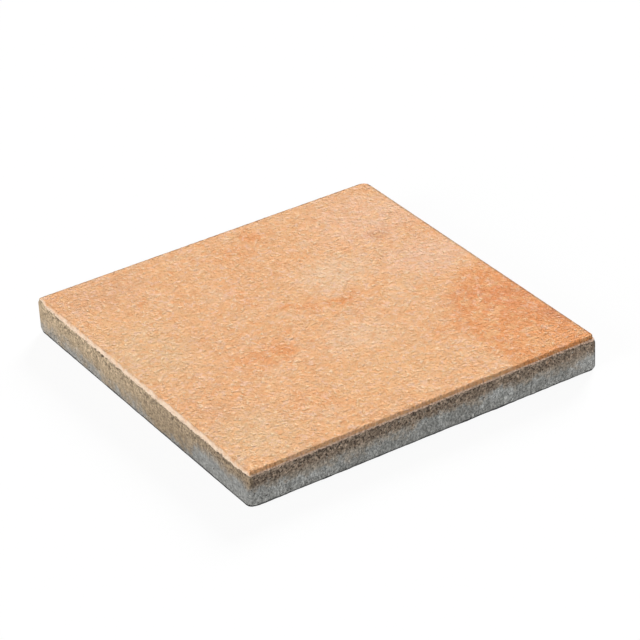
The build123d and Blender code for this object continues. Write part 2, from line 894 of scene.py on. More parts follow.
        dressed = bench.add("GeometryNodeSetMaterial")
        bench.feed(dressed.inputs["Geometry"], real.outputs["Geometry"])
        bench.feed(dressed.inputs["Material"], material)
        bench.feed(bench.add("NodeGroupOutput").inputs["Geometry"], dressed.outputs["Geometry"])
        return tree

    def apply(self, piece: bpy.types.Object, material: bpy.types.Material) -> bpy.types.Object:
        """Gives a plain piece its relief as real mesh.

        Args:
            piece: The object with the plain mesh.
            material: The finish that the result wears.

        Returns:
            The same object, with the relief in its mesh and no modifier.
        """
        tree = self.tree(material)
        modifier = piece.modifiers.new("cast_relief", "NODES")
        modifier.node_group = tree
        identifiers = {s.name: s.identifier for s in tree.interface.items_tree if s.in_out == "INPUT"}
        for name, value in self.inputs().items():
            modifier[identifiers[name]] = value
        graph = bpy.context.evaluated_depsgraph_get()
        made = bpy.data.meshes.new_from_object(piece.evaluated_get(graph))
        plain = piece.data
        piece.modifiers.remove(modifier)
        piece.data = made
        made.name = piece.name
        bpy.data.meshes.remove(plain)
        return piece


@dataclass(frozen=True)
class FaceMix:
    """Finish of the walking face and its bevel: a peach mix with orange and cream clouds.

    Grains, widths and heights are in metres. The film, a painted sheen that stands in for the face's gloss,
    is what each channel is multiplied by.
    """

    peach: Colour = tint(238, 178, 125)
    # Paler crests: partly pale laitance, partly painted glints
    crest_glint_and_laitance: Colour = tint(255, 226, 182)
    # Darker dents: partly dirt, partly painted shade in the hollows
    dent_shade_and_dirt: Colour = tint(196, 134, 92)
    # Cream of the left edge: a painted highlight where it faces the key lamp, partly rubbed wear
    rubbed: Colour = tint(255, 228, 202)
    # Pale ledge: partly worn, partly a painted highlight
    ledge: Colour = tint(244, 214, 191)
    # Painted sheen: a pale lift of each channel that stands in for gloss
    sheen_lift: tuple[float, float, float] = (1.042, 1.074, 1.150)
    seed: float = 11.0
    # Clouds and mottle
    swirl_grain: float = 0.018
    swirl_reach: float = 0.016
    break_grain: float = 0.007
    break_span: Span = (0.3, 0.6)
    break_levels: Span = (0.55, 1.15)
    cloud_grain: float = 0.030
    cloud_span: Span = (0.48, 0.70)
    cloud_share: float = 0.35
    streak_grain: float = 0.015
    streak_span: Span = (0.52, 0.68)
    streak_share: float = 0.7
    blotch_grain: float = 0.009
    blotch_span: Span = (0.50, 0.66)
    blotch_share: float = 0.6
    mottle_grain: float = 0.0068
    pale_span: Span = (0.5, 0.68)
    pale_shares: Span = (0.62, 0.50)
    deep_span: Span = (0.5, 0.32)
    deep_share: float = 0.5
    # Where the orange corner begins and ends
    corner_across: Span = (0.08, 0.14)
    corner_along: Span = (0.0, -0.06)
    # Crests painted paler, partly pale laitance and partly painted glints; dents painted darker, partly dirt
    # and partly painted shade in the hollows; and soft shading
    hollow_weight: float = -0.2
    fine_lift: float = 0.1
    crest_span: Span = (0.54, 0.78)
    crest_shares: Span = (0.64, 0.54)
    dent_span: Span = (0.44, 0.22)
    dent_share: float = 0.06
    shading_grain: float = 0.007
    shading_span: Span = (0.3, 0.7)
    shading_levels: Span = (0.945, 1.045)
    # Painted shade on the bevel at the back, in front and at the right tip, and the pale ledge, partly worn
    # and partly a painted highlight
    back_rim: Span = (0.0050, 0.0030)
    back_painted_shade: float = 0.62
    front_rim: Span = (0.0024, 0.0017)
    front_painted_shade: float = 0.91
    right_tip_span: Span = (-0.012, -0.004)
    right_tip_painted_shade: float = 0.84
    ledge_span: Span = (0.0004, -0.0002)
    ledge_wear_and_highlight_share: float = 0.85
    # Cream edge on the left: a painted highlight on the edge that faces the key lamp, partly rubbed wear
    fray_grain: float = 0.005
    fray_span: Span = (0.7, 0.4)
    fray_levels: Span = (0.85, 1.0)
    wobble_grain: float = 0.009
    rub_sway: float = 0.0020
    rub_span: Span = (0.0028, 0.0014)
    near_run: float = 0.080
    near_narrowing: float = 0.0004
    left_run: float = 0.100
    left_narrowing: float = 0.0006
    left_tip_span: Span = (-0.001, -0.008)
    left_tip_share: float = 0.2
    # Toothed line between the face mix and the backing
    tooth_grain: float = 0.0030
    tooth_height: float = 0.0022
    tooth_drop: float = 0.0013
    tooth_blur: float = 0.0002
    tooth_seed: float = 3.0
    left_wall: Span = (0.003, 0.002)
    spill_run: float = 0.030
    spill: Span = (-0.0008, -0.0001)
    rise_span: Span = (-0.014, -0.003)
    rise: float = 0.0046
    front_wall: Span = (0.006, 0.002)
    sink_span: Span = (-0.024, -0.006)
    sink: float = 0.0009
    # Fine grain and gloss
    fine_grain: float = 0.0024
    fine_seed: float = 7.0
    bump_distance: float = 0.0048
    bump_power: float = 1.8
    gloss_grain: float = 0.004
    gloss_seed: float = 5.0
    gloss_span: Span = (0.3, 0.7)
    roughness: Span = (0.72, 0.86)
    specular: float = 0.18
    # Clouds, placed one by one
    patches: tuple[Patch, ...] = (
        Patch(Tint.SAND, (-0.165, 0.040), (0.055, 0.085), 0.45),
        Patch(Tint.SAND, (-0.160, -0.150), (0.055, 0.055), 0.50),
        Patch(Tint.YELLOW, (0.005, -0.125), (0.100, 0.060), 0.40),
        Patch(Tint.PINK, (0.150, 0.130), (0.075, 0.070), 0.40),
        Patch(Tint.PINK, (0.155, 0.030), (0.060, 0.045), 0.50),
        Patch(Tint.CREAM, (0.066, 0.060), (0.055, 0.040), 0.55),
        Patch(Tint.CREAM, (0.020, -0.060), (0.060, 0.035), 0.35),
        Patch(Tint.TAN, (-0.150, 0.165), (0.065, 0.040), 0.50),
        Patch(Tint.TAN, (-0.178, -0.080), (0.035, 0.060), 0.30),
        Patch(Tint.TAN, (0.046, -0.017), (0.034, 0.016), 0.30),
        Patch(Tint.EMBER, (0.212, -0.135), (0.108, 0.118), 0.85, 0.92),
        Patch(Tint.EMBER, (0.190, -0.190), (0.078, 0.060), 0.50, 0.85),
        Patch(Tint.BURNT, (0.160, -0.078), (0.048, 0.040), 0.70),
        Patch(Tint.BURNT, (0.185, -0.110), (0.045, 0.060), 0.45),
        Patch(Tint.YELLOW, (0.150, -0.176), (0.026, 0.022), 0.30),
        Patch(Tint.RUST, (0.190, -0.145), (0.013, 0.022), 0.55),
        Patch(Tint.ORANGE, (0.088, -0.104), (0.028, 0.014), 0.70),
        Patch(Tint.ORANGE, (-0.076, -0.034), (0.054, 0.026), 0.78),
        Patch(Tint.EMBER, (-0.060, -0.044), (0.028, 0.015), 0.75),
        Patch(Tint.ORANGE, (-0.012, 0.032), (0.014, 0.011), 0.85),
        Patch(Tint.ORANGE, (0.002, 0.019), (0.014, 0.010), 0.80),
        Patch(Tint.ORANGE, (0.016, 0.010), (0.016, 0.009), 0.85),
        Patch(Tint.EMBER, (0.040, 0.005), (0.018, 0.012), 1.00),
        Patch(Tint.ORANGE, (0.056, 0.009), (0.015, 0.009), 0.65),
        Patch(Tint.EMBER, (0.040, 0.172), (0.024, 0.015), 0.75),
        Patch(Tint.ORANGE, (0.002, 0.150), (0.030, 0.020), 0.75),
        Patch(Tint.ORANGE, (-0.037, 0.085), (0.015, 0.036), 0.50),
        Patch(Tint.RUST, (0.145, 0.096), (0.017, 0.012), 0.50),
        Patch(Tint.ORANGE, (-0.086, -0.132), (0.032, 0.026), 0.45),
    )


@dataclass(frozen=True)
class Backing:
    """Finish of the sides and the bed: grey concrete, stained brown under the arris.

    Grains, spacings and heights are in metres.
    """

    grey: Colour = tint(188, 188, 184)
    pale_grey: Colour = tint(216, 217, 214)
    brown: Colour = tint(177, 157, 138)
    pale_brown: Colour = tint(202, 189, 173)
    left_grey: Colour = tint(171, 168, 162)
    left_beige: Colour = tint(193, 171, 142)
    near_grey: Colour = tint(157, 157, 154)
    near_beige: Colour = tint(157, 138, 115)
    rust: Colour = tint(176, 128, 94)
    damp: Colour = tint(96, 80, 66)
    grain: Colour = tint(214, 211, 203)
    # Dark pits, pores and voids: painted shade in them, partly dirt
    pit: Colour = tint(58, 48, 40)
    # Dark foot line: a painted contact shadow, partly dirt
    foot: Colour = tint(44, 44, 45)
    seed: float = 23.0
    # Where the left side is, its tip with less dirt and less painted pit shade, and the stretch where its
    # stain bulges
    left_wall: Span = (0.006, 0.003)
    tip_span: Span = (-0.010, -0.003)
    tip_dirt: float = 0.1
    bulge_rise: Span = (0.45, 0.66)
    bulge_fall: Span = (0.90, 0.80)
    # Depths below the arris where the stain starts to fade and where it ends
    ragged_grain: float = 0.008
    ragged_span: Span = (0.25, 0.75)
    ragged_reach: Span = (0.4, 0.25)
    wander_grain: float = 0.030
    wander_span: Span = (0.3, 0.7)
    wander_levels: Span = (0.7, 1.3)
    late_power: float = 2.6
    left_start: Span = (0.015, 0.005)
    left_end: Span = (0.037, 0.021)
    bulge_start: float = 1.8
    bulge_end: float = 1.3
    right_stretch: Span = (0.13, 0.19)
    right_start: Span = (0.010, 0.013)
    right_end: Span = (0.023, 0.029)
    # Lumps, browns and rust
    lump_grain: float = 0.016
    lump_span: Span = (0.4, 0.7)
    beige_power: float = 2.0
    brown_fade: Span = (0.008, 0.018)
    rust_grain: float = 0.006
    rust_span: Span = (0.56, 0.72)
    rust_shares: Span = (0.4, 0.1)
    # Drag marks, sand and soft tones
    drag_grain: float = 0.0022
    drag_stretch: float = 0.12
    drag_span: Span = (0.25, 0.75)
    drag_levels: Span = (0.90, 1.09)
    sand_grain: float = 0.0023
    sand_span: Span = (0.32, 0.68)
    sand_fade: Span = (0.006, 0.016)
    sand_reach: Span = (0.66, 0.34)
    sand_top: float = 0.97
    left_sand: float = 0.68
    right_sand_span: Span = (0.15, 0.19)
    right_sand: float = 0.8
    tone_grain: float = 0.006
    tone_span: Span = (0.3, 0.7)
    tone_levels: Span = (0.86, 1.12)
    left_fade: Span = (0.003, 0.024)
    left_high: float = 1.05
    left_low: Span = (0.94, 0.86)
    near_span: Span = (0.80, 0.95)
    # Painted light: the lower right side lightened against its own shade near the floor
    right_light_fade: Span = (0.018, 0.031)
    right_foot_light: float = 1.09
    # Painted shade where the side turns away at the right corner
    turned_span: Span = (-0.0036, -0.0010)
    turned_painted_shade: float = 0.42
    # Damp blots and pale stones
    blot_grain: float = 0.0036
    blot_span: Span = (0.5, 0.66)
    damp_fade: Span = (0.016, 0.007)
    damp_shares: Span = (0.45, 0.25)
    stone_spacing: float = 0.0030
    stone_rim: Span = (0.36, 0.2)
    stone_chance: Span = (0.60, 0.66)
    stone_share: float = 0.6
    # Pores, voids and pits, painted dark: painted shade in them, partly dirt
    hole_spacing: float = 0.0026
    hole_rim: Span = (0.46, 0.28)
    hole_fade: Span = (0.007, 0.017)
    hole_blur: float = 0.04
    hole_share: float = 0.8
    right_bare: float = 0.34
    deep_bare: float = 0.95
    gather_grain: float = 0.016
    gather_span: Span = (0.42, 0.62)
    gather_levels: Span = (0.96, 0.45)
    void_spacing: float = 0.0046
    void_rim: Span = (0.44, 0.24)
    void_chance: Span = (0.74, 0.78)
    void_fade: Span = (0.0075, 0.0045)
    pit_span: Span = (0.2, 0.9)
    # Dark foot line: a painted contact shadow, partly dirt
    foot_grain: float = 0.012
    foot_height: float = 0.0010
    foot_waver: float = 0.0036
    foot_core: float = 0.6
    foot_rim: Span = (0.0052, 0.0032)
    foot_shadow_and_dirt_share: float = 0.9
    roughness: float = 0.9


@dataclass(frozen=True)
class SidePlace:
    """Where a place of the backing lies, as sockets that the steps of its colour share.

    The depth below the arris is in metres. The others run from 0 to 1: whether the place is on the left
    side, how far along it towards the near corner, how far in the stretch where the stain bulges, and how
    much of its dirt and of the painted shade in its pits a place keeps, which is least at the left tip.
    """

    place: Socket
    x: Socket
    below: Socket
    on_left: Socket
    to_front: Socket
    bulge: Socket
    dirt: Socket


class ConcreteFinish:
    """The slab's one material: the face mix above the arris and the backing below it."""

    def __init__(self, section: SlabSection, face: FaceMix, backing: Backing) -> None:
        """Keeps the section, for the heights where the finish changes, and the two finishes."""
        self.section = section
        self.face = face
        self.backing = backing

    @staticmethod
    def patch_group() -> bpy.types.NodeTree:
        """A soft cloud with a centre and a reach, as a group that puts out its mask."""
        tree = bpy.data.node_groups.new("soft_patch", "ShaderNodeTree")
        for name in ("Place", "Centre", "Reach"):
            tree.interface.new_socket(name, in_out="INPUT", socket_type="NodeSocketVector")
        for name in ("Core", "Strength"):
            tree.interface.new_socket(name, in_out="INPUT", socket_type="NodeSocketFloat")
        tree.interface.new_socket("Mask", in_out="OUTPUT", socket_type="NodeSocketFloat")
        bench = Bench(tree)
        given = bench.add("NodeGroupInput").outputs
        off = bench.vector("SUBTRACT", given["Place"], given["Centre"])
        away = bench.vector("LENGTH", bench.vector("DIVIDE", off, given["Reach"]))
        mask = bench.product(bench.ramp(away, PATCH_END, given["Core"]), given["Strength"])
        bench.feed(bench.add("NodeGroupOutput").inputs["Mask"], mask)
        return tree

    def orange_corner(self, bench: Bench, place: Socket) -> Socket:
        """How far a place lies in the face's orange corner, from 0 to 1."""
        x, y, _ = bench.split(place)
        across = bench.ramp(x, *self.face.corner_across)
        return bench.product(across, bench.ramp(y, *self.face.corner_along))

    def clouds(self, bench: Bench, place: Socket) -> Socket:
        """Colour of the face mix before its grain: soft clouds, swirls and the listed patches.

        Args:
            bench: The material's bench.
            place: Object coordinates.

        Returns:
            The colour's socket.
        """
        face = self.face
        seed = face.seed
        swirled = bench.drift(place, face.swirl_grain, face.swirl_reach, seed)
        flat = bench.vector("MULTIPLY", swirled, (1.0, 1.0, 0.0))
        breaks = bench.noise(place, face.break_grain, seed + 5, detail=3.0, roughness=0.6)
        broken = bench.ramp(breaks, *face.break_span, *face.break_levels)
        clouds = bench.noise(place, face.cloud_grain, seed, detail=4.0, roughness=0.6, distortion=0.6)
        creamy = bench.ramp(clouds, *face.cloud_span, 0.0, face.cloud_share)
        colour = bench.mix(creamy, face.peach, Tint.CREAM.value)
        streaks = bench.noise(place, face.streak_grain, seed + 1, detail=4.0, roughness=0.6, distortion=1.2)
        streaky = bench.ramp(streaks, *face.streak_span, 0.0, face.streak_share)
        colour = bench.mix(streaky, colour, Tint.ORANGE.value)
        group = self.patch_group()
        for patch in face.patches:
            node = bench.add("ShaderNodeGroup", node_tree=group)
            bench.feed(node.inputs["Place"], flat)
            bench.feed(node.inputs["Centre"], (*patch.centre, 0.0))
            bench.feed(node.inputs["Reach"], (*patch.reach, 1.0))
            bench.feed(node.inputs["Core"], patch.core)
            bench.feed(node.inputs["Strength"], bench.product(broken, patch.strength))
            colour = bench.mix(node.outputs["Mask"], colour, patch.colour.value)
        blotch = bench.noise(place, face.blotch_grain, seed + 4, detail=2.0, roughness=0.5)
        blotchy = bench.ramp(blotch, *face.blotch_span, 0.0, face.blotch_share)
        colour = bench.mix(blotchy, colour, Tint.YELLOW.value)
        mottle = bench.noise(place, face.mottle_grain, seed + 2, detail=3.0, roughness=0.6, distortion=0.8)
        pale_share = bench.blend(self.orange_corner(bench, place), *face.pale_shares)
        pale = bench.ramp(mottle, *face.pale_span, 0.0, pale_share)
        deep = bench.ramp(mottle, *face.deep_span, 0.0, face.deep_share)
        return bench.mix(deep, bench.mix(pale, colour, Tint.PINK.value), Tint.ORANGE.value)

    def rub(self, bench: Bench, place: Socket) -> Socket:
        """How far the face's left edge is painted cream, from 0 to 1: a painted highlight where it faces the
        key lamp, partly rubbed wear.

        Args:
            bench: The material's bench.
            place: Object coordinates.

        Returns:
            The share's socket.
        """
        face = self.face
        low, high = self.section.low, self.section.high
        x, y, _ = bench.split(place)
        fray = bench.noise(place, face.fray_grain, face.seed + 6, detail=3.0, roughness=0.6)
        wobble = bench.noise(place, face.wobble_grain, face.seed + 7, detail=2.0)
        sway = bench.math("SUBTRACT", bench.total(fray, wobble), 1.0)
        from_left = bench.math("SUBTRACT", x, low.x)
        from_left = bench.math("MULTIPLY_ADD", sway, face.rub_sway, from_left)
        narrow = bench.math(
            "MAXIMUM",
            bench.ramp(y, low.y + face.near_run, low.y, 0.0, face.near_narrowing),
            bench.ramp(y, high.y - face.left_run, high.y, 0.0, face.left_narrowing),
        )
        from_left = bench.math("ADD", from_left, narrow)
        return bench.product(
            bench.ramp(from_left, *face.rub_span),
            bench.ramp(fray, *face.fray_span, *face.fray_levels),
            bench.ramp(y, *from_edge(high.y, face.left_tip_span), face.left_tip_share, 1.0),
        )

    def face_colour(self, bench: Bench, place: Socket, fine: Socket) -> Socket:
        """Colour of the face mix.

        Args:
            bench: The material's bench.
            place: Object coordinates.
            fine: Height of the fine grain, from 0 to 1.

        Returns:
            The colour's socket.
        """
        face = self.face
        low, high = self.section.low, self.section.high
        x, y, z = bench.split(place)
        colour = self.clouds(bench, place)
        hollow = bench.add("ShaderNodeAttribute", attribute_name="hollow").outputs["Fac"]
        lifted = bench.math("ADD", fine, face.fine_lift)
        height = bench.math("MULTIPLY_ADD", hollow, face.hollow_weight, lifted)
        # Paler crests: partly pale laitance, partly painted glints
        crest_share = bench.blend(self.orange_corner(bench, place), *face.crest_shares)
        colour = bench.mix(bench.ramp(height, *face.crest_span, 0.0, crest_share), colour, face.crest_glint_and_laitance)
        # Darker dents: partly dirt, partly painted shade in the hollows
        colour = bench.mix(bench.ramp(height, *face.dent_span, 0.0, face.dent_share), colour, face.dent_shade_and_dirt)
        # Painted sheen over the whole face mix
        colour = bench.vector("MULTIPLY", colour, face.sheen_lift)
        shading = bench.noise(place, face.shading_grain, face.seed + 3, detail=2.0)
        colour = bench.shade(colour, bench.ramp(shading, *face.shading_span, *face.shading_levels))
        # Painted shade along the bevel at the two back edges
        to_right = bench.math("SUBTRACT", high.x, x)
        to_back = bench.math("SUBTRACT", high.y, y)
        on_back = bench.ramp(bench.least(to_right, to_back), *face.back_rim)
        colour = bench.shade(colour, bench.blend(on_back, 1.0, face.back_painted_shade))
        # Painted shade on the bevel in front
        on_front = bench.ramp(y, *from_edge(low.y, face.front_rim))
        colour = bench.shade(colour, bench.blend(on_front, 1.0, face.front_painted_shade))
        # Painted shade at the right tip of the front bevel
        by_right = bench.ramp(x, *from_edge(high.x, face.right_tip_span))
        right_tip = bench.product(on_front, by_right)
        colour = bench.shade(colour, bench.blend(right_tip, 1.0, face.right_tip_painted_shade))
        # Pale ledge, partly worn and partly a painted highlight
        on_ledge = bench.ramp(z, *from_edge(self.section.bevel_foot, face.ledge_span))
        colour = bench.mix(bench.product(on_ledge, face.ledge_wear_and_highlight_share), colour, face.ledge)
        # Cream left edge: a painted highlight, partly rubbed wear
        return bench.mix(self.rub(bench, place), colour, face.rubbed)

    def side_place(self, bench: Bench, place: Socket) -> SidePlace:
        """Works out where each place of the backing lies.

        Args:
            bench: The material's bench.
            place: Object coordinates.

        Returns:
            The sockets that the steps of the backing's colour share.
        """
        backing = self.backing
        low, high = self.section.low, self.section.high
        x, y, z = bench.split(place)
        on_left = bench.ramp(x, *from_edge(low.x, backing.left_wall))
        to_front = bench.ramp(y, high.y, low.y)
        bulge_start = bench.ramp(to_front, *backing.bulge_rise)
        bulge_end = bench.ramp(to_front, *backing.bulge_fall)
        left_tip = bench.product(on_left, bench.ramp(y, *from_edge(high.y, backing.tip_span)))
        return SidePlace(
            place=place,
            x=x,
            below=bench.math("SUBTRACT", self.section.arris, z),
            on_left=on_left,
            to_front=to_front,
            bulge=bench.product(bulge_start, bulge_end),
            dirt=bench.blend(left_tip, 1.0, backing.tip_dirt),
        )

    def stain(self, bench: Bench, at: SidePlace) -> Socket:
        """How far the brown stain under the arris covers a place, from 0 to 1.

        Args:
            bench: The material's bench.
            at: Where the place lies.

        Returns:
            The share's socket.
        """
        backing = self.backing
        seed = backing.seed
        ragged = bench.noise(at.place, backing.ragged_grain, seed + 1, detail=4.0, roughness=0.65)
        span = bench.blend(at.on_left, *backing.ragged_reach)
        least = bench.math("SUBTRACT", 1.0, span)
        most = bench.math("ADD", 1.0, span)
        wander = bench.noise(at.place, backing.wander_grain, seed + 11, detail=2.0)
        reach = bench.product(
            bench.ramp(ragged, *backing.ragged_span, least, most),
            bench.ramp(wander, *backing.wander_span, *backing.wander_levels),
        )
        late = bench.math("POWER", at.to_front, backing.late_power)
        start_drop = bench.blend(at.bulge, 1.0, backing.bulge_start)
        end_drop = bench.blend(at.bulge, 1.0, backing.bulge_end)
        left_start = bench.product(bench.blend(late, *backing.left_start), start_drop)
        left_end = bench.product(bench.blend(late, *backing.left_end), end_drop)
        right_start = bench.ramp(at.x, *backing.right_stretch, *backing.right_start)
        right_end = bench.ramp(at.x, *backing.right_stretch, *backing.right_end)
        start = bench.product(reach, bench.blend(at.on_left, right_start, left_start))
        end = bench.product(reach, bench.blend(at.on_left, right_end, left_end))
        return bench.ramp(at.below, end, start)

    def stained_grey(self, bench: Bench, at: SidePlace) -> Socket:
        """Colour of the grey backing with its brown stain and rust, before its grain.

        Args:
            bench: The material's bench.
            at: Where the place lies.

        Returns:
            The colour's socket.
        """
        backing = self.backing
        lumps = bench.noise(at.place, backing.lump_grain, backing.seed, detail=3.0)
        grey = bench.mix(bench.ramp(lumps, *backing.lump_span), backing.grey, backing.pale_grey)
        grey = bench.mix(at.on_left, grey, bench.mix(at.to_front, backing.left_grey, backing.near_grey))
        near = bench.math("POWER", at.to_front, backing.beige_power)
        beige = bench.mix(near, backing.left_beige, backing.near_beige)
        brown = bench.mix(bench.ramp(at.below, *backing.brown_fade), backing.brown, backing.pale_brown)
        stain = self.stain(bench, at)
        colour = bench.mix(stain, grey, bench.mix(at.on_left, brown, beige))
        rust = bench.noise(at.place, backing.rust_grain, backing.seed + 6, detail=3.0, roughness=0.6)
        rust_share = bench.blend(at.on_left, *backing.rust_shares)
        rusty = bench.product(bench.ramp(rust, *backing.rust_span), stain, rust_share)
        return bench.mix(rusty, colour, backing.rust)

    def grain_level(self, bench: Bench, at: SidePlace) -> Socket:
        """How light a place is: drag marks, sand and soft tones, with painted shade where it turns from the
        right side and painted light low on the right side.

        Args:
            bench: The material's bench.
            at: Where the place lies.

        Returns:
            What the colour is multiplied by.
        """
        backing = self.backing
        seed = backing.seed
        right = self.section.high.x
        stretched = bench.vector("MULTIPLY", at.place, (1.0, 1.0, backing.drag_stretch))
        drag = bench.noise(stretched, backing.drag_grain, seed + 2, detail=2.0)
        sand = bench.noise(at.place, backing.sand_grain, seed + 3, detail=3.0, roughness=0.55)
        tone = bench.noise(at.place, backing.tone_grain, seed + 4, detail=2.0)
        span = bench.product(
            bench.ramp(at.below, *backing.sand_fade, *backing.sand_reach),
            bench.blend(at.on_left, 1.0, backing.left_sand),
            at.dirt,
            bench.ramp(at.x, *backing.right_sand_span, 1.0, backing.right_sand),
        )
        least = bench.math("SUBTRACT", 1.0, span)
        most = bench.math("ADD", backing.sand_top, span)
        left_low = bench.blend(at.bulge, *backing.left_low)
        left_tone = bench.ramp(at.below, *backing.left_fade, backing.left_high, left_low)
        left_tone = bench.ramp(at.to_front, *backing.near_span, left_tone, 1.0)
        # Painted light low on the right side, against its shade near the floor
        right_painted_light = bench.ramp(at.below, *backing.right_light_fade, 1.0, backing.right_foot_light)
        return bench.product(
            bench.blend(at.on_left, right_painted_light, left_tone),
            bench.ramp(drag, *backing.drag_span, *backing.drag_levels),
            bench.ramp(sand, *backing.sand_span, least, most),
            bench.ramp(tone, *backing.tone_span, *backing.tone_levels),
            # Painted shade where the side turns from the right
            bench.ramp(at.x, *from_edge(right, backing.turned_span), 1.0, backing.turned_painted_shade),
        )

    def holes(self, bench: Bench, at: SidePlace) -> Socket:
        """How dark the pits, pores and voids make a place, from 0 to 1: painted shade in them, partly dirt.

        Args:
            bench: The material's bench.
            at: Where the place lies.

        Returns:
            The share's socket.
        """
        backing = self.backing
        seed = backing.seed
        near, chance = bench.cells(at.place, backing.hole_spacing, seed + 8)
        gather = bench.noise(at.place, backing.gather_grain, seed + 9, detail=2.0)
        sparse = bench.ramp(gather, *backing.gather_span, *backing.gather_levels)
        bare = bench.blend(at.on_left, backing.right_bare, sparse)
        bare = bench.ramp(at.below, *backing.hole_fade, bare, backing.deep_bare)
        open_share = bench.ramp(chance, bare, bench.math("ADD", bare, backing.hole_blur))
        pore = bench.product(bench.ramp(near, *backing.hole_rim), open_share)
        near, chance = bench.cells(at.place, backing.void_spacing, seed + 12)
        void = bench.product(
            bench.ramp(near, *backing.void_rim),
            bench.ramp(chance, *backing.void_chance),
            bench.ramp(at.below, *backing.void_fade),
            at.on_left,
        )
        hole = bench.product(bench.math("MAXIMUM", pore, void), backing.hole_share)
        pit = bench.add("ShaderNodeAttribute", attribute_name="pit").outputs["Fac"]
        dark = bench.math("MAXIMUM", bench.ramp(pit, *backing.pit_span, 0.0, backing.hole_share), hole)
        return bench.product(dark, at.dirt)

    def foot(self, bench: Bench, place: Socket) -> Socket:
        """How far the dark foot line, a painted contact shadow and partly dirt, covers a place, from 0 to 1.

        Args:
            bench: The material's bench.
            place: Object coordinates.

        Returns:
            The share's socket.
        """
        backing = self.backing
        low, high = self.section.low, self.section.high
        x, y, z = bench.split(place)
        waver = bench.noise(place, backing.foot_grain, backing.seed + 5, detail=2.0)
        line = bench.math("MULTIPLY_ADD", waver, backing.foot_waver, backing.foot_height)
        from_side = bench.least(
            bench.math("SUBTRACT", x, low.x),
            bench.math("SUBTRACT", high.x, x),
            bench.math("SUBTRACT", y, low.y),
            bench.math("SUBTRACT", high.y, y),
        )
        return bench.product(
            bench.ramp(z, line, bench.product(line, backing.foot_core)),
            bench.ramp(from_side, *backing.foot_rim, 0.0, backing.foot_shadow_and_dirt_share),
        )

    def backing_colour(self, bench: Bench, place: Socket) -> Socket:
        """Colour of the backing concrete.

        Args:
            bench: The material's bench.
            place: Object coordinates.

        Returns:
            The colour's socket.
        """
        backing = self.backing
        at = self.side_place(bench, place)
        colour = bench.shade(self.stained_grey(bench, at), self.grain_level(bench, at))
        blot = bench.noise(place, backing.blot_grain, backing.seed + 10, detail=2.0, roughness=0.6)
        damp = bench.product(
            bench.ramp(blot, *backing.blot_span),
            bench.ramp(at.below, *backing.damp_fade),
            bench.blend(at.on_left, *backing.damp_shares),
            at.dirt,
        )
        colour = bench.mix(damp, colour, backing.damp)
        near, chance = bench.cells(place, backing.stone_spacing, backing.seed + 7)
        stone = bench.product(bench.ramp(near, *backing.stone_rim), bench.ramp(chance, *backing.stone_chance))
        colour = bench.mix(bench.product(stone, backing.stone_share), colour, backing.grain)
        # Dark pits, pores and voids: painted shade in them, partly dirt
        colour = bench.mix(self.holes(bench, at), colour, backing.pit)
        # Dark foot line: a painted contact shadow, partly dirt
        return bench.mix(self.foot(bench, place), colour, backing.foot)

    def in_face(self, bench: Bench, place: Socket) -> Socket:
        """Whether a place belongs to the face mix, from 0 in the backing to 1, with a toothed line between.

        Args:
            bench: The material's bench.
            place: Object coordinates.

        Returns:
            The share's socket.
        """
        face = self.face
        low, high = self.section.low, self.section.high
        x, y, z = bench.split(place)
        tooth = bench.noise(place, face.tooth_grain, face.tooth_seed, detail=2.0)
        line = bench.math("MULTIPLY_ADD", tooth, face.tooth_height, self.section.arris - face.tooth_drop)
        on_left = bench.ramp(x, *from_edge(low.x, face.left_wall))
        spill = bench.ramp(y, low.y, low.y + face.spill_run, *face.spill)
        rise = bench.ramp(y, *from_edge(high.y, face.rise_span), 0.0, face.rise)
        spill = bench.math("SUBTRACT", spill, rise)
        line = bench.math("SUBTRACT", line, bench.product(on_left, spill))
        on_front = bench.ramp(y, *from_edge(low.y, face.front_wall))
        by_right = bench.ramp(x, *from_edge(high.x, face.sink_span), 0.0, face.sink)
        line = bench.math("SUBTRACT", line, bench.product(on_front, by_right))
        return bench.ramp(z, bench.math("SUBTRACT", line, face.tooth_blur), line)

    def material(self) -> bpy.types.Material:
        """Makes the material.

        Returns:
            The finished material.
        """
        face = self.face
        material = bpy.data.materials.new("pressed_concrete")
        material.use_nodes = True
        tree = material.node_tree
        tree.nodes.clear()
        bench = Bench(tree)
        place = bench.add("ShaderNodeTexCoord").outputs["Object"]
        in_face = self.in_face(bench, place)
        fine = bench.noise(place, face.fine_grain, face.fine_seed, detail=1.5, roughness=0.5)
        peach = self.face_colour(bench, place, fine)
        colour = bench.mix(in_face, self.backing_colour(bench, place), peach)
        gloss = bench.noise(place, face.gloss_grain, face.gloss_seed, detail=2.0)
        dull = bench.ramp(gloss, *face.gloss_span, *face.roughness)
        bump = bench.add("ShaderNodeBump")
        bench.feed(bump.inputs["Strength"], 1.0)
        bench.feed(bump.inputs["Distance"], face.bump_distance)
        bench.feed(bump.inputs["Height"], bench.math("POWER", fine, face.bump_power))
        shader = bench.add("ShaderNodeBsdfPrincipled")
        bench.feed(shader.inputs["Base Color"], colour)
        bench.feed(shader.inputs["Roughness"], bench.blend(in_face, self.backing.roughness, dull))
        bench.feed(shader.inputs["Specular IOR Level"], face.specular)
        bench.feed(shader.inputs["Normal"], bump.outputs["Normal"])
        output = bench.add("ShaderNodeOutputMaterial")
        bench.feed(output.inputs["Surface"], shader.outputs["BSDF"])
        return material


